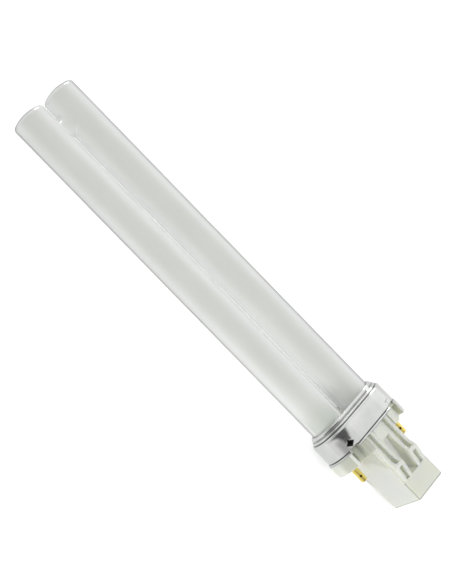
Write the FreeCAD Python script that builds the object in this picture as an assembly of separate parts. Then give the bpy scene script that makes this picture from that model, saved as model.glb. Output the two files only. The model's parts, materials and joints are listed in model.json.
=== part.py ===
import FreeCAD
import Part
import math
import os

# Twin-leg fluorescent lamp with a two-pin plug-in base, in millimetres.
# It is modelled about its own axis: +Z runs from the base to the glass tips, z = 0 is the
# seating plane under the base flange, and X runs through both pins. At the end the whole lamp
# is laid down on its broad face, as it rests on a table.

# Glass discharge tube
TUBE_DIAMETER = 12.45
LEG_GAP = 1.85
TIP_HEIGHT = 155.5
TIP_CROWN_RADIUS = 14.0
TIP_EDGE_RADIUS = 1.7
BRIDGE_DROP = 11.6
BRIDGE_DIAMETER = 8.2
BRIDGE_FLARE_RADIUS = 7.6
BRIDGE_FLARE_REACH = 3.7
LEG_FOOT_HEIGHT = 8.5
LEG_FOOT_RADIUS = 1.2
STEM_DIAMETER = 4.0
STEM_LENGTH = 1.5

# Metal collar, an oval whose end centres lie a little inside the legs
END_INSET = 0.75
COLLAR_ROOM = 3.325
COLLAR_WALL = 0.4
COLLAR_FOOT = 4.7
COLLAR_TOP = 15.4
SHOULDER_DROP = 2.4
SHOULDER_RADIUS = 0.8
SHOULDER_TURN = 80.0
RING_INSET = 0.85
RING_DROP = 1.95
RING_RADIUS = 0.5
RING_TURN = 60.0
GROOVE_TURN = -50.0
BEAD_INSET = 1.5
BEAD_RADIUS = 0.7
TOP_PLATE_DROP = 0.55
LEG_HOLE_GAP = 0.2
CEMENT_DEPTH = 3.95

# Rolled hem round the collar's foot
HEM_LENGTH = 0.5
HEM_BULGE = 0.14
HEM_GROOVE_LENGTH = 0.45
HEM_GROOVE_DEPTH = 0.2

# Crimps that lock the collar into the corner notches of the base, from the collar's foot up
CRIMP_CENTRE = 2.6
CRIMP_RISE = 1.6
CRIMP_FALL = 1.1
CRIMP_HALF_WIDTH = 1.8
CRIMP_DEPTH = 1.0
CRIMP_TAB_RISE = 1.25
CRIMP_TAB_REACH = 1.6
CRIMP_TAB_MARGIN = 0.3

# Moulded base: the flange and the plug that fills the collar
FLANGE_PROUD = 0.3
FLANGE_RIM_RADIUS = 0.35
PLUG_GAP = 0.1
FOOT_ROOM = 3.3
SOCKET_GAP = 0.15

# Corner notches of the flange, placed from the oval's end centres
NOTCH_START = 2.1
NOTCH_WIDTH = 3.8
NOTCH_SKIN = 0.225
NOTCH_HEADROOM = 0.15
SIDE_SLOT_WIDTH = 1.45
SIDE_SLOT_FLOOR_Y = 4.0
SIDE_SLOT_ROOF = 1.0

# Moulded base: the block that plugs into the lamp holder
BLOCK_WIDTH = 13.1
BLOCK_DEPTH = 17.0
BLOCK_LENGTH = 22.5
BLOCK_EDGE_RADIUS = 0.6
BLOCK_END_RADIUS = 0.8
BLOCK_WALL = 1.1
BLOCK_FLOOR = 1.6
CHAMBER_HEADROOM = 0.5

# Snap relief on both broad faces of the block; drops are measured down from the seating plane
RELIEF_MARGIN = 0.65
RELIEF_RISE = 0.8
RELIEF_EDGE_RADIUS = 0.2
RAMP_START = 6.6
CREST_RISE = 2.1
CREST_DROP = 8.9
CREST_FLAT = 0.6
RAMP_END = 14.75
PANEL_GROOVE_WIDTH = 0.3
PANEL_GROOVE_DEPTH = 1.0
CORNER_REBATE_DEPTH = 0.55
CORNER_REBATE_MARGIN = 0.25

# Slots, pad and sloping channel in the relief; depths are measured in from the block's face
RIB_WIDTH = 1.25
SLOT_WIDTH = 1.55
SLOT_DEPTH = 1.2
SLOT_BRIDGE_START = 8.35
SLOT_BRIDGE_LENGTH = 1.4
LOWER_SLOT_MARGIN = 0.1
CHANNEL_START = 0.1
CHANNEL_START_DEPTH = 1.3
CHANNEL_DEEP_DEPTH = 5.35
CHANNEL_DEEP_MARGIN = 1.55
CHANNEL_DEEP_FLAT = 0.5
PAD_RISE = 0.25

# Brass contact pins
PIN_SPACING = 23.0
PIN_DIAMETER = 2.3
PIN_LENGTH = 6.35
PIN_TIP_RADIUS = 0.8
PIN_SHOULDER_DIAMETER = 2.9
PIN_SHOULDER_THICKNESS = 0.3
PIN_SHANK_DIAMETER = 1.9
PIN_HEAD_DIAMETER = 3.4
PIN_HEAD_THICKNESS = 0.7
PIN_BORE = 0.7
PIN_END_WALL = 0.9
DIMPLE_DROP = 4.0
DIMPLE_RADIUS = 0.55
DIMPLE_DEPTH = 0.3
DIMPLE_COUNT = 4
DIMPLE_TURN = 25.0

# Starter, capacitor and leads inside the block; drops are measured from the leads' level
STARTER_GAP = 0.1
STARTER_DIAMETER = 5.8
STARTER_DROP = 3.3
STARTER_LENGTH = 13.5
STARTER_SHOULDER = 1.45
STARTER_PINCH_WIDTH = 3.6
STARTER_PINCH_DEPTH = 1.6
STARTER_PINCH_LENGTH = 2.4
STARTER_LEAD_SPREAD = 0.8
CAPACITOR_GAP = 0.65
CAPACITOR_WIDTH = 3.6
CAPACITOR_DEPTH = 5.0
CAPACITOR_LENGTH = 9.0
CAPACITOR_DROP = 4.3
CAPACITOR_EDGE_RADIUS = 0.6
CAPACITOR_LEAD_SPREAD = 0.9
CAPACITOR_LEAD_DROP = 2.1
CAPACITOR_LEAD_Y = 0.9
WIRE_DIAMETER = 0.5
WIRE_BEND = 0.6
LEAD_DROP = 0.7
STEM_LEAD_SPREAD = 0.8

# Sizes that follow from the ones above
TUBE_R = TUBE_DIAMETER / 2
COLLAR_HALF_WIDTH = TUBE_R + COLLAR_ROOM
LEG_X = (TUBE_DIAMETER + LEG_GAP) / 2
END_X = LEG_X - END_INSET
STEM_END = LEG_FOOT_HEIGHT - STEM_LENGTH
LEAD_LEVEL = STEM_END - LEAD_DROP
TOP_PLATE = COLLAR_TOP - TOP_PLATE_DROP
CEMENT_TOP = TOP_PLATE - COLLAR_WALL
COLLAR_INNER = COLLAR_HALF_WIDTH - COLLAR_WALL
CRIMP_HEIGHT = COLLAR_FOOT + CRIMP_CENTRE
CRIMP_TAB_FOOT = COLLAR_FOOT + CRIMP_TAB_RISE
CRIMP_TAB_TOP = CRIMP_TAB_FOOT + COLLAR_WALL
FLANGE_HALF_WIDTH = COLLAR_HALF_WIDTH + FLANGE_PROUD
PLUG_TOP = CEMENT_TOP - CEMENT_DEPTH
SOCKET_R = TUBE_R + SOCKET_GAP
SOCKET_FLOOR = LEG_FOOT_HEIGHT - FOOT_ROOM
NOTCH_INNER_X = END_X + NOTCH_START
NOTCH_OUTER_X = NOTCH_INNER_X + NOTCH_WIDTH
NOTCH_FLOOR_Y = SOCKET_R + NOTCH_SKIN
NOTCH_TOP = CRIMP_TAB_TOP + NOTCH_HEADROOM
SIDE_SLOT_TOP = SOCKET_FLOOR - SIDE_SLOT_ROOF
BLOCK_HALF_W = BLOCK_WIDTH / 2
BLOCK_HALF_D = BLOCK_DEPTH / 2
RELIEF_HALF_WIDTH = BLOCK_HALF_W - RELIEF_MARGIN
RELIEF_FACE_Y = BLOCK_HALF_D + RELIEF_RISE
CREST_Y = BLOCK_HALF_D + CREST_RISE
CORNER_REBATE_END = RAMP_END + CORNER_REBATE_MARGIN
SLOT_OUTER_X = RELIEF_HALF_WIDTH - RIB_WIDTH
SLOT_INNER_X = SLOT_OUTER_X - SLOT_WIDTH
SLOT_FLOOR_Y = BLOCK_HALF_D - SLOT_DEPTH
LOWER_SLOT_START = SLOT_BRIDGE_START + SLOT_BRIDGE_LENGTH
LOWER_SLOT_END = RAMP_END - LOWER_SLOT_MARGIN
CHANNEL_HALF_WIDTH = SLOT_INNER_X - RIB_WIDTH
CHANNEL_START_Y = BLOCK_HALF_D - CHANNEL_START_DEPTH
CHANNEL_DEEP_Y = BLOCK_HALF_D - CHANNEL_DEEP_DEPTH
CHANNEL_DEEP_DROP = RAMP_END - CHANNEL_DEEP_MARGIN
CAVITY_HALF_WIDTH = BLOCK_HALF_W - BLOCK_WALL
CAVITY_HALF_DEPTH = SLOT_FLOOR_Y - BLOCK_WALL
CHAMBER_TOP = STEM_END + CHAMBER_HEADROOM
PIN_X = PIN_SPACING / 2
PIN_R = PIN_DIAMETER / 2
PIN_SHOULDER_R = PIN_SHOULDER_DIAMETER / 2
PIN_SHANK_R = PIN_SHANK_DIAMETER / 2
PIN_HEAD_R = PIN_HEAD_DIAMETER / 2
STARTER_X = CAVITY_HALF_WIDTH - STARTER_GAP - STARTER_DIAMETER / 2
STARTER_TOP = LEAD_LEVEL - STARTER_DROP
CAPACITOR_X = CAPACITOR_GAP + CAPACITOR_WIDTH / 2 - CAVITY_HALF_WIDTH
CAPACITOR_TOP = LEAD_LEVEL - CAPACITOR_DROP
CAPACITOR_LEAD_LEVEL = LEAD_LEVEL - CAPACITOR_LEAD_DROP
WIRE_R = WIRE_DIAMETER / 2

# Centre and radius of each round of the collar's section
SHOULDER_Z = COLLAR_TOP - SHOULDER_DROP - SHOULDER_RADIUS
SHOULDER_ROUND = (COLLAR_HALF_WIDTH - SHOULDER_RADIUS, SHOULDER_Z, SHOULDER_RADIUS)
INNER_SHOULDER_ROUND = (COLLAR_HALF_WIDTH - SHOULDER_RADIUS, SHOULDER_Z, SHOULDER_RADIUS - COLLAR_WALL)
RING_ROUND = (COLLAR_HALF_WIDTH - RING_INSET - RING_RADIUS, COLLAR_TOP - RING_DROP, RING_RADIUS)
BEAD_ROUND = (COLLAR_HALF_WIDTH - BEAD_INSET - BEAD_RADIUS, COLLAR_TOP - BEAD_RADIUS, BEAD_RADIUS)
BEAD_INNER_X = BEAD_ROUND[0] - BEAD_RADIUS

# How far a cut runs past an open face, and clear of the whole part
OVERCUT = 1.0
REACH = 2 * BLOCK_DEPTH

UP = FreeCAD.Vector(0, 0, 1)
ORIGIN = FreeCAD.Vector(0, 0, 0)
SIDES = (-1, 1)


def vec(x, y, z):
    return FreeCAD.Vector(x, y, z)


def cylinder(radius, low, high, x=0.0, y=0.0):
    return Part.makeCylinder(radius, high - low, vec(x, y, low), UP)


def box(x0, x1, y0, y1, z0, z1):
    corner = vec(min(x0, x1), min(y0, y1), min(z0, z1))
    return Part.makeBox(abs(x1 - x0), abs(y1 - y0), abs(z1 - z0), corner)


def line(a, b):
    return Part.LineSegment(a, b).toShape()


def arc(a, middle, b):
    return Part.Arc(a, middle, b).toShape()


def face_of(edges):
    return Part.Face(Part.Wire(Part.__sortEdges__(edges)))


def polygon_face(points):
    return Part.Face(Part.makePolygon(list(points) + [points[0]]))


def one_solid(shape):
    """The single clean solid of a boolean result."""
    return shape.removeSplitter().Solids[0]


def on_circle(centre_x, centre_z, radius, degrees):
    """A point of a circle in the section plane y = 0."""
    angle = math.radians(degrees)
    return vec(centre_x + radius * math.cos(angle), 0, centre_z + radius * math.sin(angle))


def round_stretch(centre_x, centre_z, radius, start, end):
    """An arc in the section plane, from one angle to another."""
    first = on_circle(centre_x, centre_z, radius, start)
    middle = on_circle(centre_x, centre_z, radius, (start + end) / 2)
    return arc(first, middle, on_circle(centre_x, centre_z, radius, end))


def each_corner(maker):
    """One tool for each of the four corners of the base."""
    return [maker(sx, sy) for sx in SIDES for sy in SIDES]


def oval_solid(profile_edges):
    """A filled section, drawn at y = 0 with its radius along X, swept round the oval."""
    section = face_of(profile_edges)
    pieces = []
    for side in SIDES:
        end = section.copy()
        end.rotate(ORIGIN, UP, -90 * side)
        end.translate(vec(side * END_X, 0, 0))
        pieces.append(end.revolve(vec(side * END_X, 0, 0), UP, 180))
        pieces.append(end.extrude(vec(-2 * side * END_X, 0, 0)))
    return one_solid(pieces[0].multiFuse(pieces[1:]))


def oval_prism(half_width, low, high):
    """A plain oval block whose ends share the collar's centres."""
    corners = [vec(0, 0, low), vec(half_width, 0, low), vec(half_width, 0, high), vec(0, 0, high)]
    return oval_solid([line(corners[i - 1], corners[i]) for i in range(len(corners))])


# Glass

def leg(side):
    """One leg: a tube with a flattened dome on top and a rounded foot with its stem."""
    rim = TUBE_R - TIP_EDGE_RADIUS
    crown_z = TIP_HEIGHT - TIP_CROWN_RADIUS
    edge_reach = TIP_CROWN_RADIUS - TIP_EDGE_RADIUS
    edge_z = crown_z + math.sqrt(edge_reach ** 2 - rim ** 2)
    turn = math.degrees(math.acos(rim / edge_reach))
    foot_r = TUBE_R - LEG_FOOT_RADIUS
    foot_z = LEG_FOOT_HEIGHT + LEG_FOOT_RADIUS
    stem_r = STEM_DIAMETER / 2
    outline = [
        round_stretch(0, crown_z, TIP_CROWN_RADIUS, 90, turn),
        round_stretch(rim, edge_z, TIP_EDGE_RADIUS, turn, 0),
        line(vec(TUBE_R, 0, edge_z), vec(TUBE_R, 0, foot_z)),
        round_stretch(foot_r, foot_z, LEG_FOOT_RADIUS, 0, -90),
        line(vec(foot_r, 0, LEG_FOOT_HEIGHT), vec(stem_r, 0, LEG_FOOT_HEIGHT)),
        line(vec(stem_r, 0, LEG_FOOT_HEIGHT), vec(stem_r, 0, STEM_END)),
        line(vec(stem_r, 0, STEM_END), vec(0, 0, STEM_END)),
        line(vec(0, 0, STEM_END), vec(0, 0, TIP_HEIGHT)),
    ]
    solid = face_of(outline).revolve(ORIGIN, UP, 360)
    solid.translate(vec(side * LEG_X, 0, 0))
    return solid


def bridge():
    """The short cross tube near the tips, flared where it melts into the legs."""
    z = TIP_HEIGHT - BRIDGE_DROP
    waist = z + BRIDGE_DIAMETER / 2
    flare_z = waist + BRIDGE_FLARE_RADIUS
    mouth = flare_z - math.sqrt(BRIDGE_FLARE_RADIUS ** 2 - BRIDGE_FLARE_REACH ** 2)
    left, right = -BRIDGE_FLARE_REACH, BRIDGE_FLARE_REACH
    outline = [
        arc(vec(left, 0, mouth), vec(0, 0, waist), vec(right, 0, mouth)),
        line(vec(right, 0, mouth), vec(LEG_X, 0, mouth)),
        line(vec(LEG_X, 0, mouth), vec(LEG_X, 0, z)),
        line(vec(LEG_X, 0, z), vec(-LEG_X, 0, z)),
        line(vec(-LEG_X, 0, z), vec(-LEG_X, 0, mouth)),
        line(vec(-LEG_X, 0, mouth), vec(left, 0, mouth)),
    ]
    return face_of(outline).revolve(vec(0, 0, z), vec(1, 0, 0), 360)


def discharge_tube():
    left, right = (leg(side) for side in SIDES)
    return one_solid(left.multiFuse([right, bridge()]))


# Metal collar

def collar_outside():
    """The filled outer form: rolled hem, wall, shoulder, ring, bead and top plate."""
    wall = COLLAR_HALF_WIDTH
    hem_top = COLLAR_FOOT + HEM_LENGTH
    groove_top = hem_top + HEM_GROOVE_LENGTH
    groove = vec(wall - HEM_GROOVE_DEPTH, 0, (hem_top + groove_top) / 2)
    bulge = vec(wall + HEM_BULGE, 0, (COLLAR_FOOT + hem_top) / 2)
    return oval_solid([
        line(vec(0, 0, COLLAR_FOOT), vec(wall, 0, COLLAR_FOOT)),
        arc(vec(wall, 0, COLLAR_FOOT), bulge, vec(wall, 0, hem_top)),
        line(vec(wall, 0, hem_top), groove),
        line(groove, vec(wall, 0, groove_top)),
        line(vec(wall, 0, groove_top), on_circle(*SHOULDER_ROUND, 0)),
        round_stretch(*SHOULDER_ROUND, 0, SHOULDER_TURN),
        line(on_circle(*SHOULDER_ROUND, SHOULDER_TURN), on_circle(*RING_ROUND, GROOVE_TURN)),
        round_stretch(*RING_ROUND, GROOVE_TURN, RING_TURN),
        line(on_circle(*RING_ROUND, RING_TURN), on_circle(*BEAD_ROUND, GROOVE_TURN)),
        round_stretch(*BEAD_ROUND, GROOVE_TURN, 180),
        line(on_circle(*BEAD_ROUND, 180), vec(BEAD_INNER_X, 0, TOP_PLATE)),
        line(vec(BEAD_INNER_X, 0, TOP_PLATE), vec(0, 0, TOP_PLATE)),
        line(vec(0, 0, TOP_PLATE), vec(0, 0, COLLAR_FOOT)),
    ])


def collar_inside():
    """The filled inner form, one wall inside the outer one and plain past the shoulder."""
    step = vec(COLLAR_WALL, 0, COLLAR_WALL)
    shoulder_end = on_circle(*INNER_SHOULDER_ROUND, SHOULDER_TURN)
    low_sides = on_circle(*SHOULDER_ROUND, SHOULDER_TURN), on_circle(*RING_ROUND, GROOVE_TURN)
    high_sides = on_circle(*RING_ROUND, RING_TURN), on_circle(*BEAD_ROUND, GROOVE_TURN)
    low_groove = (low_sides[0] + low_sides[1]) / 2 - step
    high_groove = (high_sides[0] + high_sides[1]) / 2 - step
    plate_edge = vec(BEAD_INNER_X + COLLAR_WALL, 0, CEMENT_TOP)
    return oval_solid([
        line(vec(0, 0, COLLAR_FOOT), vec(COLLAR_INNER, 0, COLLAR_FOOT)),
        line(vec(COLLAR_INNER, 0, COLLAR_FOOT), on_circle(*INNER_SHOULDER_ROUND, 0)),
        round_stretch(*INNER_SHOULDER_ROUND, 0, SHOULDER_TURN),
        line(shoulder_end, low_groove),
        line(low_groove, high_groove),
        line(high_groove, plate_edge),
        line(plate_edge, vec(0, 0, CEMENT_TOP)),
        line(vec(0, 0, CEMENT_TOP), vec(0, 0, COLLAR_FOOT)),
    ])


def crimp_dent(sx, sy, inset=0.0):
    """A diamond dent over a notch: four facets that meet at a point inside the wall."""
    x = (NOTCH_INNER_X + NOTCH_OUTER_X) / 2
    run = x - END_X
    across = math.sqrt(COLLAR_HALF_WIDTH ** 2 - run ** 2)
    centre = vec(sx * x, sy * across, CRIMP_HEIGHT)
    outward = vec(sx * run, sy * across, 0).normalize()
    along = outward.cross(UP)
    depth = CRIMP_DEPTH + inset
    mouth = centre + outward * CRIMP_DEPTH
    grow = (CRIMP_DEPTH + depth) / CRIMP_DEPTH
    apex = centre - outward * depth
    corners = [
        mouth + UP * (CRIMP_RISE * grow),
        mouth + along * (CRIMP_HALF_WIDTH * grow),
        mouth - UP * (CRIMP_FALL * grow),
        mouth - along * (CRIMP_HALF_WIDTH * grow),
    ]
    facets = [polygon_face([corners[i - 1], corners[i], apex]) for i in range(len(corners))]
    solid = Part.Solid(Part.Shell(facets + [polygon_face(corners)]))
    if solid.Volume < 0:
        solid.reverse()
    return solid


def notch_block(sx, sy, low, high):
    """A block just inside one corner notch, over the folded strip of the foot."""
    inner, outer = NOTCH_INNER_X + CRIMP_TAB_MARGIN, NOTCH_OUTER_X - CRIMP_TAB_MARGIN
    return box(sx * inner, sx * outer, sy * (NOTCH_FLOOR_Y + PLUG_GAP), sy * REACH, low, high)


def crimp_tab(sx, sy):
    """The strip of the foot that is folded in over the notch."""
    ring = oval_prism(COLLAR_HALF_WIDTH - COLLAR_WALL / 2, CRIMP_TAB_FOOT, CRIMP_TAB_TOP)
    ring = ring.cut(oval_prism(COLLAR_INNER - CRIMP_TAB_REACH, CRIMP_TAB_FOOT, CRIMP_TAB_TOP))
    return ring.common(notch_block(sx, sy, CRIMP_TAB_FOOT, CRIMP_TAB_TOP))


def metal_collar():
    dents = each_corner(crimp_dent)
    inner_dents = each_corner(lambda sx, sy: crimp_dent(sx, sy, COLLAR_WALL))
    feet = each_corner(lambda sx, sy: notch_block(sx, sy, COLLAR_FOOT, CRIMP_TAB_FOOT))
    hole_r = TUBE_R + LEG_HOLE_GAP
    holes = [cylinder(hole_r, CEMENT_TOP - OVERCUT, COLLAR_TOP, side * LEG_X) for side in SIDES]
    inside = collar_inside().cut(inner_dents)
    shell = collar_outside().cut(dents).cut(inside).cut(feet + holes)
    return one_solid(shell.multiFuse(each_corner(crimp_tab)))


def basing_cement():
    """The cement that bonds both legs into the collar, on top of the plug."""
    legs = [cylinder(TUBE_R, PLUG_TOP - OVERCUT, COLLAR_TOP, side * LEG_X) for side in SIDES]
    above = box(-REACH, REACH, -REACH, REACH, PLUG_TOP, CEMENT_TOP)
    inner_dents = each_corner(lambda sx, sy: crimp_dent(sx, sy, COLLAR_WALL))
    return one_solid(collar_inside().common(above).cut(legs + inner_dents))


# Moulded base

def block():
    """The plug-in block, with rounded corners and end."""
    solid = box(-BLOCK_HALF_W, BLOCK_HALF_W, -BLOCK_HALF_D, BLOCK_HALF_D, -BLOCK_LENGTH, COLLAR_FOOT)
    uprights = [e for e in solid.Edges if abs(e.tangentAt(e.FirstParameter).z) > 0.9]
    solid = solid.makeFillet(BLOCK_EDGE_RADIUS, uprights)
    end_edges = [e for e in solid.Edges if e.BoundBox.ZMax < -BLOCK_LENGTH + 0.01]
    return solid.makeFillet(BLOCK_END_RADIUS, end_edges)


def relief(sy):
    """The raised snap relief of one broad face: a flat run, a ramp up to the crest and one down."""
    side_view = [
        vec(0, 0, COLLAR_FOOT),
        vec(0, sy * RELIEF_FACE_Y, COLLAR_FOOT),
        vec(0, sy * RELIEF_FACE_Y, -RAMP_START),
        vec(0, sy * CREST_Y, -CREST_DROP + CREST_FLAT / 2),
        vec(0, sy * CREST_Y, -CREST_DROP - CREST_FLAT / 2),
        vec(0, sy * BLOCK_HALF_D, -RAMP_END),
        vec(0, 0, -RAMP_END),
    ]
    solid = polygon_face(side_view).extrude(vec(2 * RELIEF_HALF_WIDTH, 0, 0))
    solid.translate(vec(-RELIEF_HALF_WIDTH, 0, 0))
    raised = [e for e in solid.Edges if all(abs(v.Y) > RELIEF_FACE_Y - OVERCUT / 2 for v in e.Vertexes)]
    return solid.makeFillet(RELIEF_EDGE_RADIUS, raised)


def pad(sy):
    """The small raised pad above the channel."""
    return box(-CHANNEL_HALF_WIDTH, CHANNEL_HALF_WIDTH, 0, sy * (RELIEF_FACE_Y + PAD_RISE),
               -CHANNEL_START, COLLAR_FOOT)


def channel(sy, wall=0.0):
    """The sloping channel between the ribs; wall grows it to the skin left round it."""
    half = CHANNEL_HALF_WIDTH + wall
    deep_y = CHANNEL_DEEP_Y - wall
    side_view = [
        vec(-half, sy * REACH, -CHANNEL_START + wall),
        vec(-half, sy * (CHANNEL_START_Y - wall), -CHANNEL_START + wall),
        vec(-half, sy * deep_y, -CHANNEL_DEEP_DROP),
        vec(-half, sy * deep_y, -CHANNEL_DEEP_DROP - CHANNEL_DEEP_FLAT - wall),
        vec(-half, sy * BLOCK_HALF_D, -RAMP_END - wall),
        vec(-half, sy * REACH, -RAMP_END - wall),
    ]
    return polygon_face(side_view).extrude(vec(2 * half, 0, 0))


def slots(sx, sy):
    """Upper and lower core slots beside one rib."""
    inner, outer = sx * SLOT_INNER_X, sx * SLOT_OUTER_X
    upper = box(inner, outer, sy * SLOT_FLOOR_Y, sy * REACH, -SLOT_BRIDGE_START, COLLAR_FOOT)
    lower = box(inner, outer, sy * SLOT_FLOOR_Y, sy * REACH, -LOWER_SLOT_END, -LOWER_SLOT_START)
    return upper.fuse(lower)


def panel_grooves(sx, sy):
    """The cut back face between the flange's panels, and the groove beside each panel."""
    outer = sx * (RELIEF_HALF_WIDTH + PANEL_GROOVE_WIDTH)
    face = box(0, outer, sy * RELIEF_FACE_Y, sy * REACH, 0, COLLAR_FOOT)
    groove_floor = RELIEF_FACE_Y - PANEL_GROOVE_DEPTH
    groove = box(sx * RELIEF_HALF_WIDTH, outer, sy * groove_floor, sy * REACH, 0, COLLAR_FOOT)
    return face.fuse(groove)


def corner_rebate(sx, sy):
    """The step that sets the relief off from the block's corner."""
    floor_y = BLOCK_HALF_D - CORNER_REBATE_DEPTH
    return box(sx * RELIEF_HALF_WIDTH, sx * REACH, sy * floor_y, sy * REACH, -CORNER_REBATE_END, 0)


def corner_notch(sx, sy):
    """A corner notch of the flange, with the deeper slot at its outer side."""
    inner, outer = sx * NOTCH_INNER_X, sx * NOTCH_OUTER_X
    slot_inner = outer - sx * SIDE_SLOT_WIDTH
    notch = box(inner, outer, sy * NOTCH_FLOOR_Y, sy * REACH, -OVERCUT, NOTCH_TOP)
    slot = box(slot_inner, outer, sy * SIDE_SLOT_FLOOR_Y, sy * REACH, -OVERCUT, SIDE_SLOT_TOP)
    return notch.fuse(slot)


def cavity():
    """The room for the starter and capacitor, which keeps a wall round both channels."""
    half = CAVITY_HALF_WIDTH
    deep = CAVITY_HALF_DEPTH
    room = box(-half, half, -deep, deep, -BLOCK_LENGTH + BLOCK_FLOOR, CHAMBER_TOP)
    return room.cut([channel(sy, BLOCK_WALL) for sy in SIDES])


def base_housing():
    flange = oval_prism(FLANGE_HALF_WIDTH, 0, COLLAR_FOOT)
    rim = [e for e in flange.Edges if e.BoundBox.ZMax < 0.01]
    flange = flange.makeFillet(FLANGE_RIM_RADIUS, rim)
    plug = oval_prism(COLLAR_INNER - PLUG_GAP, COLLAR_FOOT, PLUG_TOP)
    body = flange.multiFuse([plug, block()]).cut(each_corner(corner_rebate))
    body = body.multiFuse([relief(sy) for sy in SIDES]).cut(each_corner(panel_grooves))
    body = body.multiFuse([pad(sy) for sy in SIDES])
    sockets = [cylinder(SOCKET_R, SOCKET_FLOOR, PLUG_TOP + OVERCUT, side * LEG_X) for side in SIDES]
    pin_holes = [cylinder(PIN_SHANK_R, -OVERCUT, SOCKET_FLOOR + OVERCUT, side * PIN_X) for side in SIDES]
    head_pocket_r = PIN_HEAD_R + SOCKET_GAP
    pin_holes += [cylinder(PIN_SHOULDER_R, -OVERCUT, PIN_SHOULDER_THICKNESS, side * PIN_X) for side in SIDES]
    pin_holes += [cylinder(head_pocket_r, SOCKET_FLOOR, PLUG_TOP + OVERCUT, side * PIN_X) for side in SIDES]
    dents = each_corner(lambda sx, sy: crimp_dent(sx, sy, COLLAR_WALL + PLUG_GAP))
    channels = [channel(sy) for sy in SIDES]
    cuts = sockets + pin_holes + dents + channels + each_corner(slots) + each_corner(corner_notch)
    return one_solid(body.cut(cuts + [cavity()]))


# Contact pins

def contact_pin(side):
    """A hollow pin: its shoulder is let into the flange, and its thinner shank is riveted over."""
    tip_z = -PIN_LENGTH
    neck = PIN_R - PIN_TIP_RADIUS
    shoulder_top = PIN_SHOULDER_THICKNESS
    head_top = SOCKET_FLOOR + PIN_HEAD_THICKNESS
    outline = [
        line(vec(0, 0, tip_z), vec(neck, 0, tip_z)),
        round_stretch(neck, tip_z + PIN_TIP_RADIUS, PIN_TIP_RADIUS, -90, 0),
        line(vec(PIN_R, 0, tip_z + PIN_TIP_RADIUS), vec(PIN_R, 0, 0)),
        line(vec(PIN_R, 0, 0), vec(PIN_SHOULDER_R, 0, 0)),
        line(vec(PIN_SHOULDER_R, 0, 0), vec(PIN_SHOULDER_R, 0, shoulder_top)),
        line(vec(PIN_SHOULDER_R, 0, shoulder_top), vec(PIN_SHANK_R, 0, shoulder_top)),
        line(vec(PIN_SHANK_R, 0, shoulder_top), vec(PIN_SHANK_R, 0, SOCKET_FLOOR)),
        line(vec(PIN_SHANK_R, 0, SOCKET_FLOOR), vec(PIN_HEAD_R, 0, SOCKET_FLOOR)),
        line(vec(PIN_HEAD_R, 0, SOCKET_FLOOR), vec(PIN_HEAD_R, 0, head_top)),
        line(vec(PIN_HEAD_R, 0, head_top), vec(0, 0, head_top)),
        line(vec(0, 0, head_top), vec(0, 0, tip_z)),
    ]
    solid = face_of(outline).revolve(ORIGIN, UP, 360)
    bore = cylinder(PIN_BORE / 2, tip_z + PIN_END_WALL, head_top + OVERCUT)
    dimples = []
    for i in range(DIMPLE_COUNT):
        angle = math.radians(DIMPLE_TURN + 360 * i / DIMPLE_COUNT)
        reach = PIN_R - DIMPLE_DEPTH + DIMPLE_RADIUS
        centre = vec(-reach * math.sin(angle), -reach * math.cos(angle), -DIMPLE_DROP)
        dimples.append(Part.makeSphere(DIMPLE_RADIUS, centre))
    solid = one_solid(solid.cut(dimples + [bore]))
    solid.translate(vec(side * PIN_X, 0, 0))
    return solid


# Starter gear and leads

def wire_path(points):
    """A path of straight runs joined by tangent arcs of the wire's bend radius."""
    edges = []
    start = points[0]
    for before, corner, after in zip(points, points[1:], points[2:]):
        back = (before - corner).normalize()
        ahead = (after - corner).normalize()
        half_turn = (math.pi - back.getAngle(ahead)) / 2
        trim = WIRE_BEND * math.tan(half_turn)
        inward = (back + ahead).normalize()
        arc_start, arc_end = corner + back * trim, corner + ahead * trim
        middle = corner + inward * (WIRE_BEND / math.cos(half_turn) - WIRE_BEND)
        edges += [line(start, arc_start), arc(arc_start, middle, arc_end)]
        start = arc_end
    edges.append(line(start, points[-1]))
    return Part.Wire(edges)


def wire(points):
    path = wire_path(points)
    circle = Part.Wire(Part.makeCircle(WIRE_R, points[0], points[1] - points[0]))
    return path.makePipeShell([circle], True, False)


def pin_lead(side):
    """From a leg's stem to the bottom of its pin's bore."""
    stem_x = side * (LEG_X + STEM_LEAD_SPREAD)
    pin_x = side * PIN_X
    return wire([vec(stem_x, 0, STEM_END), vec(stem_x, 0, LEAD_LEVEL), vec(pin_x, 0, LEAD_LEVEL),
                 vec(pin_x, 0, -PIN_LENGTH + PIN_END_WALL)])


def starter_lead(side):
    """From a leg's stem to the starter's pinch."""
    stem_x = side * (LEG_X - STEM_LEAD_SPREAD)
    starter_x = STARTER_X + side * STARTER_LEAD_SPREAD
    return wire([vec(stem_x, 0, STEM_END), vec(stem_x, 0, LEAD_LEVEL), vec(starter_x, 0, LEAD_LEVEL),
                 vec(starter_x, 0, STARTER_TOP)])


def glow_starter():
    """A small glass bottle with a round end and a flat pinch on top."""
    radius = STARTER_DIAMETER / 2
    low = STARTER_TOP - STARTER_LENGTH
    shoulder_low = STARTER_TOP - STARTER_PINCH_LENGTH - STARTER_SHOULDER
    half_w, half_d = STARTER_PINCH_WIDTH / 2, STARTER_PINCH_DEPTH / 2
    bottle = cylinder(radius, low + radius, shoulder_low)
    round_end = Part.makeSphere(radius, vec(0, 0, low + radius))
    shoulder = Part.makeCone(radius, half_w, STARTER_SHOULDER, vec(0, 0, shoulder_low), UP)
    pinch = box(-half_w, half_w, -half_d, half_d, shoulder_low, STARTER_TOP)
    solid = one_solid(bottle.multiFuse([round_end, shoulder, pinch]))
    solid.translate(vec(STARTER_X, 0, 0))
    return solid


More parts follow.
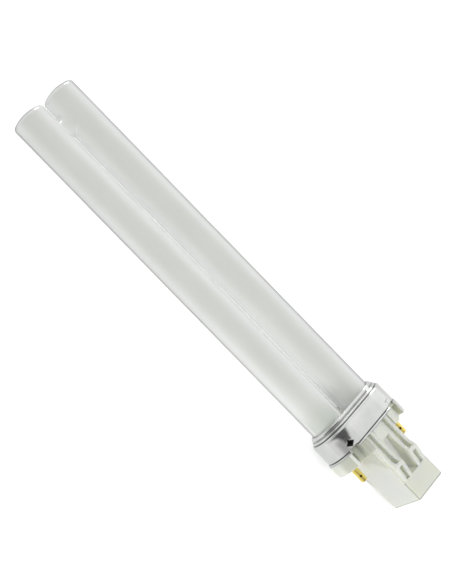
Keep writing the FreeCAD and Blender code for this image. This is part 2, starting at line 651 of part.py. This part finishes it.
def starter_capacitor():
    """A dipped capacitor with its two leads."""
    low = CAPACITOR_TOP - CAPACITOR_LENGTH
    half_w, half_d = CAPACITOR_WIDTH / 2, CAPACITOR_DEPTH / 2
    body = box(CAPACITOR_X - half_w, CAPACITOR_X + half_w, -half_d, half_d, low, CAPACITOR_TOP)
    body = body.makeFillet(CAPACITOR_EDGE_RADIUS, body.Edges)
    near_x = CAPACITOR_X - CAPACITOR_LEAD_SPREAD
    far_x = CAPACITOR_X + CAPACITOR_LEAD_SPREAD
    joint_x = STARTER_X + STARTER_LEAD_SPREAD
    root = CAPACITOR_TOP - CAPACITOR_EDGE_RADIUS
    near_lead = cylinder(WIRE_R, root, LEAD_LEVEL - WIRE_R, near_x)
    level = CAPACITOR_LEAD_LEVEL
    far_lead = wire([vec(far_x, CAPACITOR_LEAD_Y, root), vec(far_x, CAPACITOR_LEAD_Y, level),
                     vec(joint_x, CAPACITOR_LEAD_Y, level), vec(joint_x, WIRE_R, level)])
    return one_solid(body.multiFuse([near_lead, far_lead]))


# The lamp laid down: the tips point along -X and the broad front face looks up

def laid_down(solid):
    middle = (TIP_HEIGHT - BLOCK_LENGTH) / 2
    turn = FreeCAD.Matrix(0, 0, -1, middle,
                          1, 0, 0, 0,
                          0, -1, 0, CREST_Y,
                          0, 0, 0, 1)
    laid = solid.copy()
    laid.Placement = FreeCAD.Placement(turn).multiply(laid.Placement)
    return laid


PARTS = {
    "discharge_tube": discharge_tube,
    "metal_collar": metal_collar,
    "basing_cement": basing_cement,
    "base_housing": base_housing,
    "contact_pin_left": lambda: contact_pin(-1),
    "contact_pin_right": lambda: contact_pin(1),
    "pin_lead_left": lambda: pin_lead(-1),
    "pin_lead_right": lambda: pin_lead(1),
    "starter_lead_left": lambda: starter_lead(-1),
    "starter_lead_right": lambda: starter_lead(1),
    "glow_starter": glow_starter,
    "starter_capacitor": starter_capacitor,
}

os.makedirs("parts", exist_ok=True)
for name, maker in PARTS.items():
    laid_down(maker()).exportStep("parts/" + name + ".step")
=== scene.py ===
import json
import math
import bmesh
import bpy
from mathutils import Matrix, Vector


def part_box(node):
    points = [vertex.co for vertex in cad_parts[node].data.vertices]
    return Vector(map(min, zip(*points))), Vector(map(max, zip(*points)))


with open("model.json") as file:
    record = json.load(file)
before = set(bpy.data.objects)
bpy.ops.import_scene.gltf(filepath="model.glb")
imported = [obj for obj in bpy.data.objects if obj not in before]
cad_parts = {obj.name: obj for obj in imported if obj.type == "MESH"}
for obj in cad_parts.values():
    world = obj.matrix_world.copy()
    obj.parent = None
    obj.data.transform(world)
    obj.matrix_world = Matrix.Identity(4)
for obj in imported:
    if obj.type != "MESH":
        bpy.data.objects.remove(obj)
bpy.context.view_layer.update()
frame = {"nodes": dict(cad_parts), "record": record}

MM = 0.001

# Glass: its two legs, the shade at their foot, and the side that faces the other leg
GLASS_LOW, GLASS_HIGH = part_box("discharge_tube")
CENTRE_Z = (GLASS_LOW.z + GLASS_HIGH.z) / 2
LEG_RADIUS = (GLASS_HIGH.z - GLASS_LOW.z) / 2
LEG_Y = GLASS_HIGH.y - LEG_RADIUS
FOOT_SHADE_LENGTH = 12 * MM
FOOT_SHADE = 0.65
GAP_SIDE_WIDTH = 2.5 * MM
RIM_COAT_LOSS = 0.8
GLASS_LETS_THROUGH = 0.94

# Where on the slanting glass its painted light and shade, painted bright line and painted dark edges start
# and are full: 0 is seen face on and 1 edge on
PAINTED_LIGHT_SLANT = (0.0, 0.35)
BRIGHT_LINE_SLANT = (0.36, 0.46, 0.50, 0.58)
RIM_SLANT = (0.49, 0.65)
GAP_RIM_SLANT = (0.68, 0.84)

# Collar: an oval round a spine, and the places along the lamp of its grooves' painted shade and of its waist
COLLAR_LOW, COLLAR_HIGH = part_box("metal_collar")
HEM_BULGE = 0.14 * MM
WALL_RADIUS = (COLLAR_HIGH.z - COLLAR_LOW.z) / 2 - HEM_BULGE
SPINE_END_Y = (COLLAR_HIGH.y - COLLAR_LOW.y) / 2 - HEM_BULGE - WALL_RADIUS
HEM_GROOVE_X = COLLAR_HIGH.x - 0.72 * MM
SHOULDER_GROOVE_X = COLLAR_LOW.x + 2.37 * MM
BEAD_GROOVE_X = COLLAR_LOW.x + 1.38 * MM
GROOVE_HALF_WIDTH = 0.16 * MM
HEM_GROOVE_HALF_WIDTH = 2.2 * GROOVE_HALF_WIDTH
WAIST_X = COLLAR_HIGH.x - 5.1 * MM

# Crimps: their middle, the painted dark reflection in them (pressed in floor, diamond, the crease that leads
# in), and the pull round them
CRIMP_X = COLLAR_HIGH.x - 2.6 * MM
CRIMP_Y = 10.4 * MM
CRIMP_Z = 8.67 * MM
CRIMP_FLOOR_RADIUS = (WALL_RADIUS - 0.05 * MM, WALL_RADIUS - 0.28 * MM)
CRIMP_FLOOR_X = (CRIMP_X - 2.0 * MM, CRIMP_X - 1.4 * MM, CRIMP_X + 1.3 * MM, CRIMP_X + 1.9 * MM)
DIAMOND_HALF_LENGTH = 1.35 * MM
DIAMOND_HALF_WIDTH = 1.8 * MM
DIAMOND_EDGE = (1.1, 0.8)
CREASE_HALF_WIDTH = (0.55 * MM, 0.2 * MM)
CREASE_X = (CRIMP_X - 2.8 * MM, CRIMP_X - 2.3 * MM, CRIMP_X - 0.8 * MM, CRIMP_X)
CRIMP_REACH = 2.42 * MM

# How dark the collar's painted groove shade and painted crimp reflections are
FINE_GROOVE_DARK = 0.6
HEM_GROOVE_DARK = 0.92
DIAMOND_DARK = 0.9
CREASE_DARK = 0.8

# Relief of the collar's sheet, in millimetres
WAIST_CURVE = 0.025
CRIMP_PULL = 0.08
SHEET_WAVES = 0.25
POLISH_MARKS = 0.004

# Pins: where their dimples are
PIN_LOW, PIN_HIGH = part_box("contact_pin_right")
PIN_Y = (PIN_LOW.y + PIN_HIGH.y) / 2
PIN_RADIUS = 1.15 * MM
DIMPLE_X = PIN_HIGH.x - 2.35 * MM
DIMPLE_TURN = math.radians(25)
DIMPLE_RADIUS = 0.42 * MM
DIMPLE_COUNT = 4

# Moulding: its edges' rounding, its plug block, the plane that seats in a holder, and the notches on -Y
EDGE_ROUNDING = 0.2 * MM
BLOCK_HALF_WIDTH = 6.55 * MM
BLOCK_END_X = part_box("base_housing")[1].x
CHANNEL_HALF_WIDTH = 1.85 * MM
CHANNEL_LENGTH = 14.0 * MM
SEAT_X = BLOCK_END_X - 22.5 * MM
NOTCH_WALL_Y = -9.25 * MM
NOTCH_END_Y = -13.05 * MM

# Shade on the upper -Y side of the flange
FLANGE_SHADE = 0.8
FLANGE_SHADE_Y = (-4.9 * MM, -5.9 * MM)
FLANGE_SHADE_HEIGHT = (1.5 * MM, 4.5 * MM)
BESIDE_NOTCH_EXTRA = 0.35
BESIDE_NOTCH_Y = (NOTCH_WALL_Y, NOTCH_WALL_Y + 0.1 * MM, -7.7 * MM, -6.9 * MM)
NOTCH_FAR_END_Y = (NOTCH_END_Y - 0.2 * MM, NOTCH_END_Y, NOTCH_WALL_Y - 1.9 * MM, NOTCH_WALL_Y - 1.6 * MM)

# Shade on the block's -Y side: it starts at the flange and reaches further as it rises
SIDE_SHADE = 0.45
SIDE_SHADE_SLOPE = 0.72
SIDE_SHADE_FOOT = 3.2 * MM
SIDE_SHADE_SOFTNESS = 1.2 * MM

# Camera of the photograph, in metres
CAMERA_PLACE = Vector((-0.0279, -0.2247, 0.4251))
CAMERA_AIM = Vector((-0.0027, 0.0003, 0.0106))
CAMERA_ROLL = math.radians(51.37)
LENS_MM = 89.1
SENSOR_MM = 36.0

# Studio: long soft boxes. Angles are about the lamp's length, in degrees up from the -Y side
SOFT_BOXES = (
    {"angle": 8, "full_within": 15, "ends_at": 45, "level": 0.75},
    {"angle": 88, "full_within": 8, "ends_at": 26, "level": 1.86},
    {"angle": 162, "full_within": 20, "ends_at": 40, "level": 0.85},
)
SIDE_LAMP_PLACE = Vector((0.19, -0.22, 0.06))
SIDE_LAMP_AIM = Vector((0.085, 0.0, 0.01))
SIDE_LAMP_SIZE = 0.1
SIDE_LAMP_POWER = 0.2
FLOOR_HALF_SIZE = 3.0
FLOOR_GREY = 0.8
FLOOR_GREY_MIRRORED = 0.3
FLOOR_LIFT_SEEN = 0.55
FLOOR_LIFT_MIRRORED = 0.62

# What bright things mirror: white all round, more of it toward the base end and on the +Y side
MIRRORED_WHITE = 0.81
BASE_END_EXTRA = 0.06
BASE_END_RISE = (0.1, 0.35)
RIGHT_EXTRA = 0.2
RIGHT_RISE = (108, 132)

# In that white a dark funnel, which widens toward the base end and is lopsided
FUNNEL_DARK = 0.76
FUNNEL_ANGLE = 72
FUNNEL_HALF_WIDTH = 2
FUNNEL_SPREAD = 46
FUNNEL_CURVE = 0.6
FUNNEL_SOFTNESS = 8.0
FUNNEL_START = (0.02, 0.12)
LEAN_AT_MIDDLE = 2.2
LEAN_GAIN = 4.3
LEAN_LIMITS = (0.1, 0.9)

# A grey beside the funnel, and one lamp
GREY_ANGLE = 42
GREY_DEPTH = 0.38
GREY_EDGE = (30, 6)
GREY_END = (0.35, 0.15)
TOWARD_MIRRORED_LAMP = Vector((-0.64, 0.76, 0.1)).normalized()
MIRRORED_LAMP = 14.0
MIRRORED_LAMP_EDGE = (0.965, 0.985)


# Shader maths

class Field:
    """A socket of a material. Arithmetic on it adds Math nodes, and node() adds any other node."""

    def __init__(self, tree, socket=None):
        self.tree = tree
        self.socket = socket

    def node(self, kind, values, settings=None, output=0):
        made = self.tree.nodes.new("ShaderNode" + kind)
        for name, setting in (settings or {}).items():
            setattr(made, name, setting)
        for key, value in values.items():
            if isinstance(value, Field):
                self.tree.links.new(value.socket, made.inputs[key])
            else:
                made.inputs[key].default_value = value
        return Field(self.tree, made.outputs[output])

    def maths(self, operation, *values):
        return self.node("Math", dict(enumerate(values)), {"operation": operation})

    def __add__(self, other):
        return self.maths("ADD", self, other)

    def __radd__(self, other):
        return self.maths("ADD", other, self)

    def __sub__(self, other):
        return self.maths("SUBTRACT", self, other)

    def __rsub__(self, other):
        return self.maths("SUBTRACT", other, self)

    def __mul__(self, other):
        return self.maths("MULTIPLY", self, other)

    def __rmul__(self, other):
        return self.maths("MULTIPLY", other, self)

    def __pow__(self, other):
        return self.maths("POWER", self, other)

    def __abs__(self):
        return self.maths("ABSOLUTE", self)

    def clamp(self, low=0.0, high=1.0):
        return self.maths("MINIMUM", self.maths("MAXIMUM", self, low), high)

    def step(self, low, high):
        """0 below low and 1 above high, smooth between; it falls instead where low is above high."""
        values = {"Value": self, "From Min": low, "From Max": high}
        return self.node("MapRange", values, {"interpolation_type": "SMOOTHSTEP"})

    def band(self, start, full, full_end, end):
        """0 up to start and from end on, 1 from full to full_end."""
        return self.step(start, full) * self.step(end, full_end)

    def line(self, centre, half_width):
        """1 at centre, falling softly to 0 at half_width from it."""
        return abs(self - centre).step(half_width, 0.0)

    def axis(self, name):
        return self.node("SeparateXYZ", {0: self}, output=name)

    def dot(self, other):
        """How far this vector points along another, which may be a Vector or a field."""
        return self.node("VectorMath", {0: self, 1: other}, {"operation": "DOT_PRODUCT"}, output="Value")

    def blend(self, colour_a, colour_b):
        """colour_a where this mask is 0, colour_b where it is 1; the node's colour sockets go by number."""
        values = {0: self, 6: colour_a, 7: colour_b}
        return self.node("Mix", values, {"data_type": "RGBA"}, output=2)

    def shaded(self, mask, low, high):
        """This colour times low where a mask is 0 and times high where it is 1."""
        factor = low + (high - low) * mask
        return self.node("VectorMath", {0: self, "Scale": factor}, {"operation": "SCALE"})

    def noise(self, scale, detail=2.0, roughness=0.5, stretch=(1.0, 1.0, 1.0)):
        """Noise in object space, scale in lumps per metre, about 0 to 1."""
        mapped = self.node("Mapping", {"Vector": self, "Scale": stretch})
        values = {"Vector": mapped, "Scale": scale, "Detail": detail, "Roughness": roughness}
        return self.node("TexNoise", values)

    def bump(self, strength, depth, **over):
        return self.node("Bump", {"Height": self, "Strength": strength, "Distance": depth, **over})

    def ray(self, kind):
        """1 for rays of this kind, 0 for all others."""
        return self.node("LightPath", {}, output=f"Is {kind} Ray")

    def seen(self):
        """1 for rays straight from the camera or by way of glass."""
        return (self.ray("Camera") + self.ray("Transmission")).clamp()


def distance(*offsets):
    """Length of the vector with these parts."""
    return sum(offset * offset for offset in offsets) ** 0.5


def rgba(red, green, blue):
    return (red, green, blue, 1.0)


def new_finish(name, constants):
    """A material, its Principled shader with these constants, and object coordinates to build on."""
    material = bpy.data.materials.new(name)
    material.use_nodes = True
    shader = material.node_tree.nodes["Principled BSDF"]
    for socket, value in constants.items():
        shader.inputs[socket].default_value = value
    place = Field(material.node_tree).node("TexCoord", {}, output="Object")
    return material, shader, place


def feed(target, field, socket):
    target.id_data.links.new(field.socket, target.inputs[socket])


# Glass

def coated_glass():
    """White phosphor, faintly green and mottled, in a clear gloss glass wall that lets most light through.
    Its colour holds painted light: greyer face on and lighter at a slant, a painted bright line and painted
    dark edges near the legs' sides, and painted shade at the foot of the -Y leg.
    """
    constants = {"Roughness": 0.5, "Coat Roughness": 0.03, "Coat IOR": 1.5, "Specular IOR Level": 0.2}
    material, shader, place = new_finish("coated_glass", constants)
    across = place.axis("Y")
    slant = place.node("LayerWeight", {"Blend": 0.5}, output="Facing")
    from_leg = distance(abs(across) - LEG_Y, place.axis("Z") - CENTRE_Z)
    on_leg = from_leg.step(LEG_RADIUS + 0.5 * MM, LEG_RADIUS + 0.05 * MM)

    # Painted light and shade: greyer where the glass is seen face on, lighter where it slants away
    painted_slant_light = slant.step(*PAINTED_LIGHT_SLANT) * (0.35 + 0.65 * on_leg)
    mottle = place.noise(90.0, 3.0, 0.6, (0.5, 1.0, 1.0)).step(0.35, 0.65)
    white = painted_slant_light.blend(rgba(0.765, 0.79, 0.74), rgba(0.94, 0.955, 0.935)).shaded(mottle, 0.985, 1.015)
    # Painted shade at the foot of the -Y leg only
    foot = place.axis("X").step(COLLAR_LOW.x - FOOT_SHADE_LENGTH, COLLAR_LOW.x) * across.step(0.0, -MM)
    white = (FOOT_SHADE * foot).blend(white, rgba(0.58, 0.63, 0.56))
    # Painted highlight: a bright line just inside each leg's edge, where the glass wall shines
    painted_bright_line = slant.band(*BRIGHT_LINE_SLANT) * on_leg
    white = painted_bright_line.blend(white, rgba(0.97, 0.97, 0.965))

    # Painted dark edges round the legs; left off the sides that face the other leg so that these read lit,
    # with only a thin one on the +Y leg there
    gap_side = abs(across).step(LEG_Y, LEG_Y - GAP_SIDE_WIDTH)
    rim = slant.step(*RIM_SLANT) * (0.3 + 0.7 * on_leg) * (1.0 - gap_side)
    rim = rim + slant.step(*GAP_RIM_SLANT) * on_leg * gap_side * across.step(0.0, MM)
    feed(shader, rim.blend(white, rgba(0.64, 0.65, 0.64)), "Base Color")
    feed(shader, 1.0 - RIM_COAT_LOSS * rim, "Coat Weight")
    let_light_through(material, shader)
    return material


def let_light_through(material, shader):
    """Light on its way to other surfaces mostly passes, as it does through thin coated glass."""
    start = Field(material.node_tree)
    lighting = (start.ray("Diffuse") + start.ray("Shadow")).clamp()
    coated = Field(material.node_tree, shader.outputs[0])
    clear = start.node("BsdfTransparent", {})
    mixed = start.node("MixShader", {0: GLASS_LETS_THROUGH * lighting, 1: coated, 2: clear})
    feed(material.node_tree.nodes["Material Output"], mixed, "Surface")


# Collar

def from_spine(place):
    """Distance from the collar's spine, which is the same all round its wall."""
    across = (abs(place.axis("Y")) - SPINE_END_Y).clamp()
    return distance(across, place.axis("Z") - CENTRE_Z)


def beside_crimp(place):
    """How far a point lies from the nearest crimp's middle, across the lamp and in height."""
    return abs(place.axis("Y")) - CRIMP_Y, abs(place.axis("Z") - CENTRE_Z) - CRIMP_Z


def painted_groove_shade(along):
    """Painted shade in the grooves beside the bead and the shoulder, darker in the one above the hem."""
    fine = along.line(SHOULDER_GROOVE_X, GROOVE_HALF_WIDTH) + along.line(BEAD_GROOVE_X, GROOVE_HALF_WIDTH)
    return FINE_GROOVE_DARK * fine + HEM_GROOVE_DARK * along.line(HEM_GROOVE_X, HEM_GROOVE_HALF_WIDTH)


def painted_crimp_dark(place):
    """Painted dark reflection in each -Y crimp: on its pressed in floor, the diamond round it and the crease
    that leads into it.
    """
    along = place.axis("X")
    around = distance(*beside_crimp(place))
    floor = from_spine(place).step(*CRIMP_FLOOR_RADIUS) * along.band(*CRIMP_FLOOR_X)
    diamond = abs(along - CRIMP_X) * (1.0 / DIAMOND_HALF_LENGTH) + around * (1.0 / DIAMOND_HALF_WIDTH)
    crease = around.step(*CREASE_HALF_WIDTH) * along.band(*CREASE_X)
    dark = floor + DIAMOND_DARK * diamond.step(*DIAMOND_EDGE) + CREASE_DARK * crease
    return dark * place.axis("Y").step(0.0, -MM)


def bright_aluminium():
    """Pressed and polished sheet, drawn in at its middle, with painted shade in its grooves and a painted
    dark reflection in the -Y crimps.
    """
    material, shader, place = new_finish("bright_aluminium", {"Metallic": 1.0, "Specular IOR Level": 0.5})
    along = place.axis("X")
    cloud = place.noise(160.0, 3.0, 0.55).step(0.3, 0.7)
    metal = cloud.blend(rgba(0.72, 0.735, 0.72), rgba(0.78, 0.785, 0.775))
    dark = (painted_groove_shade(along) + painted_crimp_dark(place)).clamp()
    feed(shader, dark.blend(metal, rgba(0.045, 0.047, 0.043)), "Base Color")

    marks = place.noise(2200.0, 2.0, 0.5, (1.0, 0.08, 0.08))
    feed(shader, 0.07 + 0.08 * cloud + 0.05 * marks + 0.3 * dark, "Roughness")

    from_waist = (along - WAIST_X) * (1.0 / MM)
    drawn_in = distance(along - CRIMP_X, *beside_crimp(place)).step(CRIMP_REACH, 0.0)
    waves = place.noise(120.0, 1.0, 0.4)
    height = WAIST_CURVE * from_waist * from_waist - CRIMP_PULL * drawn_in
    height = height + SHEET_WAVES * waves + POLISH_MARKS * marks
    feed(shader, height.bump(1.0, MM), "Normal")
    return material


# Moulded base

def corner_lines(place, normal):
    """Painted shade: thin grey lines on the plug block's rounded corners and round its end."""
    along = place.axis("X")
    across = abs(place.axis("Y"))
    long_corner = abs(normal.axis("Y") * normal.axis("Z")).step(0.15, 0.45) * along.step(SEAT_X, SEAT_X + MM)
    long_corner = long_corner * across.step(BLOCK_HALF_WIDTH - 0.8 * MM, BLOCK_HALF_WIDTH - 0.6 * MM)
    slope = abs(normal.axis("X"))
    end_corner = (slope * (1.0 - slope)).step(0.05, 0.2)
    end_corner = end_corner * along.step(BLOCK_END_X - MM, BLOCK_END_X - 0.8 * MM)
    return (long_corner + end_corner).clamp()


def flange_shade(place, normal):
    """Shade on the flange's upper -Y side, most beside the notch; the notch's wall and far end stay light."""
    across = place.axis("Y")
    wall = normal.axis("Y").step(-0.5, -0.8) * across.line(NOTCH_WALL_Y, 0.3 * MM)
    shade = place.axis("X").step(SEAT_X + 0.4 * MM, SEAT_X) * across.step(*FLANGE_SHADE_Y)
    shade = shade * (FLANGE_SHADE + BESIDE_NOTCH_EXTRA * across.band(*BESIDE_NOTCH_Y))
    shade = shade * (1.0 - across.band(*NOTCH_FAR_END_Y)) * (1.0 - wall)
    return shade * (place.axis("Z") - CENTRE_Z).step(*FLANGE_SHADE_HEIGHT)


def side_shade(place):
    """Slanting shade that the flange throws on the block's -Y side."""
    along = place.axis("X")
    past_slant = along - SEAT_X - SIDE_SHADE_SLOPE * (place.axis("Z") - CENTRE_Z + SIDE_SHADE_FOOT)
    shade = past_slant.step(SIDE_SHADE_SOFTNESS, -SIDE_SHADE_SOFTNESS) * along.step(SEAT_X, SEAT_X + 0.2 * MM)
    return shade * place.axis("Y").step(0.2 * MM - BLOCK_HALF_WIDTH, 0.1 * MM - BLOCK_HALF_WIDTH)


def channel_floor(place, normal):
    """1 on the floors of the sloping channels."""
    end = SEAT_X + CHANNEL_LENGTH
    floor = abs(place.axis("Y")).step(CHANNEL_HALF_WIDTH + 0.1 * MM, CHANNEL_HALF_WIDTH)
    floor = floor * abs(normal.axis("Z")).step(0.6, 0.8)
    return floor * place.axis("X").band(SEAT_X, SEAT_X + 0.3 * MM, end, end + MM)


def ivory_plastic():
    """Off-white moulding: fine sand texture, faint flow marks, and light that soaks in a little; with painted
    shade on its flange, the block's -Y side, its rounded edges and corners, and painted light on its channel
    floors.
    """
    constants = {"Subsurface Weight": 0.6, "Subsurface Scale": 0.0025, "Subsurface Radius": (1.0, 1.0, 0.6)}
    material, shader, place = new_finish("ivory_plastic", constants)
    normal = place.node("NewGeometry", {}, output="Normal")
    rounded = place.node("Bevel", {"Radius": EDGE_ROUNDING}, {"samples": 8})
    shaded_ivory = rgba(0.52, 0.535, 0.46)

    flow = place.noise(70.0, 2.0, 0.5, (0.4, 1.0, 1.0)).step(0.3, 0.7)
    face = flow.blend(rgba(0.845, 0.865, 0.775), rgba(0.865, 0.885, 0.80))
    face = flange_shade(place, normal).blend(face, shaded_ivory)
    face = (SIDE_SHADE * side_shade(place)).blend(face, shaded_ivory)
    # Painted light: the channel floors are lighter than the rest of the moulding
    face = channel_floor(place, normal).blend(face, rgba(0.975, 0.98, 0.87))
    # Painted shade on the rounded edges, which dims their highlight
    edge = (1.0 - rounded.dot(normal)).step(0.01, 0.12)
    face = edge.blend(face, rgba(0.70, 0.72, 0.65))
    # Painted shade lines on the block's corners
    face = corner_lines(place, normal).blend(face, rgba(0.50, 0.52, 0.47))
    feed(shader, face, "Base Color")

    sand = place.noise(4200.0, 2.0, 0.5)
    feed(shader, 0.34 + 0.1 * sand, "Roughness")
    feed(shader, sand.bump(0.12, 0.1 * MM, Normal=rounded), "Normal")
    return material


# Pins, and the parts inside the base

def pin_brass():
    """Drawn brass with fine lines along the pin and painted shade in each dimple."""
    material, shader, place = new_finish("pin_brass", {"Metallic": 1.0})
    across = place.axis("Y")
    across = across - across.maths("SIGN", across) * PIN_Y
    height = place.axis("Z") - CENTRE_Z
    # Painted shade in each dimple
    painted_dimple_shade = []
    for i in range(DIMPLE_COUNT):
        turn = DIMPLE_TURN + 2 * math.pi * i / DIMPLE_COUNT
        dimple_y, dimple_z = -PIN_RADIUS * math.sin(turn), PIN_RADIUS * math.cos(turn)
        away = distance(place.axis("X") - DIMPLE_X, across - dimple_y, height - dimple_z)
        painted_dimple_shade.append(away.step(1.3 * DIMPLE_RADIUS, 0.8 * DIMPLE_RADIUS))
    lines = place.noise(3000.0, 2.0, 0.5, (0.1, 1.0, 1.0))
    brass = lines.step(0.3, 0.7).blend(rgba(0.95, 0.735, 0.16), rgba(1.0, 0.85, 0.28))
    feed(shader, sum(painted_dimple_shade).clamp().blend(brass, rgba(0.06, 0.035, 0.0)), "Base Color")
    feed(shader, 0.3 + 0.14 * lines, "Roughness")
    feed(shader, lines.bump(0.15, 0.1 * MM), "Normal")
    return material


def cement():
    material, shader, place = new_finish("cement", {"Roughness": 0.9})
    grain = place.noise(1500.0, 4.0, 0.7)
    feed(shader, grain.step(0.3, 0.7).blend(rgba(0.62, 0.61, 0.56), rgba(0.74, 0.73, 0.68)), "Base Color")
    feed(shader, grain.bump(0.5, 0.2 * MM), "Normal")
    return material


def tinned_wire():
    material, shader, place = new_finish("tinned_wire", {"Metallic": 1.0})
    dull = place.noise(900.0).step(0.3, 0.7)
    feed(shader, dull.blend(rgba(0.66, 0.66, 0.65), rgba(0.80, 0.80, 0.79)), "Base Color")
    feed(shader, 0.25 + 0.2 * dull, "Roughness")
    return material


def starter_glass():
    material, shader, place = new_finish("starter_glass", {"Roughness": 0.05, "Alpha": 0.35})
    tint = place.noise(300.0).step(0.3, 0.7)
    feed(shader, tint.blend(rgba(0.86, 0.89, 0.87), rgba(0.92, 0.94, 0.92)), "Base Color")
    return material


def capacitor_coat():
    material, shader, place = new_finish("capacitor_coat", {"Roughness": 0.25, "Coat Weight": 0.4})
    runs = place.noise(500.0, 3.0).step(0.3, 0.7)
    feed(shader, runs.blend(rgba(0.40, 0.13, 0.05), rgba(0.50, 0.18, 0.07)), "Base Color")
    feed(shader, runs.bump(0.2, 0.3 * MM), "Normal")
    return material


FINISHES = {
    "coated_glass": coated_glass(),
    "bright_aluminium": bright_aluminium(),
    "cement": cement(),
    "ivory_plastic": ivory_plastic(),
    "pin_brass": pin_brass(),
    "tinned_wire": tinned_wire(),
    "starter_glass": starter_glass(),
    "capacitor_coat": capacitor_coat(),
}


def dress_nodes():
    """Gives every CAD node the finish of its material slot."""
    for part in frame["record"]["subparts"]:
        node = frame["nodes"][part["node"]]
        node.data.materials.clear()
        node.data.materials.append(FINISHES[part["material_slot"]])


# Studio

def soft_box_light(angle):
    """Light of the soft boxes, by angle about the lamp's length."""
    return sum(
        box["level"] * abs(angle - box["angle"]).step(box["ends_at"], box["full_within"])
        for box in SOFT_BOXES)


def mirrored_room(toward, angle):
    """White, a dark funnel, a grey beside it and one lamp."""
    base_end = toward.axis("X")
    white = MIRRORED_WHITE + BASE_END_EXTRA * base_end.step(*BASE_END_RISE)
    white = white + RIGHT_EXTRA * angle.step(*RIGHT_RISE)
    beside = angle - FUNNEL_ANGLE
    lean = (LEAN_AT_MIDDLE - LEAN_GAIN * base_end).clamp(*LEAN_LIMITS)
    beside = beside.maths("MAXIMUM", beside, -1.0 * lean * beside)
    half_width = FUNNEL_HALF_WIDTH + FUNNEL_SPREAD * base_end.clamp() ** FUNNEL_CURVE
    funnel = (beside - half_width).step(FUNNEL_SOFTNESS, -FUNNEL_SOFTNESS) * base_end.step(*FUNNEL_START)
    grey = abs(angle - GREY_ANGLE).step(*GREY_EDGE) * base_end.step(*GREY_END) * (1.0 - funnel)
    lamp = toward.dot(TOWARD_MIRRORED_LAMP).step(*MIRRORED_LAMP_EDGE)
    return white - FUNNEL_DARK * funnel - GREY_DEPTH * grey + MIRRORED_LAMP * lamp


def studio_sky():
    """Soft boxes light the lamp. Seen, the sky is plain white, and bright things mirror their own room."""
    world = bpy.data.worlds.new("studio_sky")
    bpy.context.scene.world = world
    world.use_nodes = True
    toward = Field(world.node_tree).node("TexCoord", {}, output="Generated")
    angle = toward.maths("ARCTAN2", toward.axis("Z"), -1.0 * toward.axis("Y")) * math.degrees(1.0)
    light = soft_box_light(angle)
    strength = light + toward.ray("Glossy") * (mirrored_room(toward, angle) - light)
    strength = strength + toward.seen() * (1.0 - strength)
    background = world.node_tree.nodes["Background"]
    background.inputs["Color"].default_value = rgba(1.0, 1.0, 1.0)
    feed(background, strength, "Strength")


def link(name, data):
    """A new object with this mesh, light or camera, in the scene."""
    made = bpy.data.objects.new(name, data)
    bpy.context.scene.collection.objects.link(made)
    return made


def aimed(place, aim):
    """The place and turn of a lamp or a camera that stands at place and looks at aim."""
    return Matrix.Translation(place) @ (aim - place).to_track_quat("-Z", "Y").to_matrix().to_4x4()


def side_lamp():
    """A small soft lamp low on the -Y side, near the base."""
    data = bpy.data.lights.new("side_lamp", "AREA")
    data.shape = "DISK"
    data.size = SIDE_LAMP_SIZE
    data.energy = SIDE_LAMP_POWER
    lamp = link("side_lamp", data)
    lamp.visible_glossy = False
    lamp.matrix_world = aimed(SIDE_LAMP_PLACE, SIDE_LAMP_AIM)


def floor_finish():
    """Pale matt floor, lifted to white where it is seen, so that only the lamp's shadow shows."""
    constants = {"Roughness": 1.0, "Specular IOR Level": 0.0, "Emission Color": rgba(1.0, 1.0, 1.0)}
    material, shader, place = new_finish("pale_floor", constants)
    mirrored = place.ray("Glossy")
    feed(shader, FLOOR_LIFT_SEEN * place.seen() + FLOOR_LIFT_MIRRORED * mirrored, "Emission Strength")
    feed(shader, FLOOR_GREY + (FLOOR_GREY_MIRRORED - FLOOR_GREY) * mirrored, "Base Color")
    return material


def lay_floor():
    shape = bmesh.new()
    bmesh.ops.create_grid(shape, x_segments=1, y_segments=1, size=FLOOR_HALF_SIZE)
    mesh = bpy.data.meshes.new("floor")
    shape.to_mesh(mesh)
    shape.free()
    floor = link("floor", mesh)
    floor.data.materials.append(floor_finish())


def photo_camera():
    data = bpy.data.cameras.new("photo_camera")
    data.lens = LENS_MM
    data.sensor_width = SENSOR_MM
    data.clip_start = MM
    camera = link("photo_camera", data)
    camera.matrix_world = aimed(CAMERA_PLACE, CAMERA_AIM) @ Matrix.Rotation(CAMERA_ROLL, 4, "Z")
    bpy.context.scene.camera = camera


dress_nodes()
lay_floor()
studio_sky()
side_lamp()
photo_camera()
bpy.context.scene.view_settings.view_transform = "Standard"
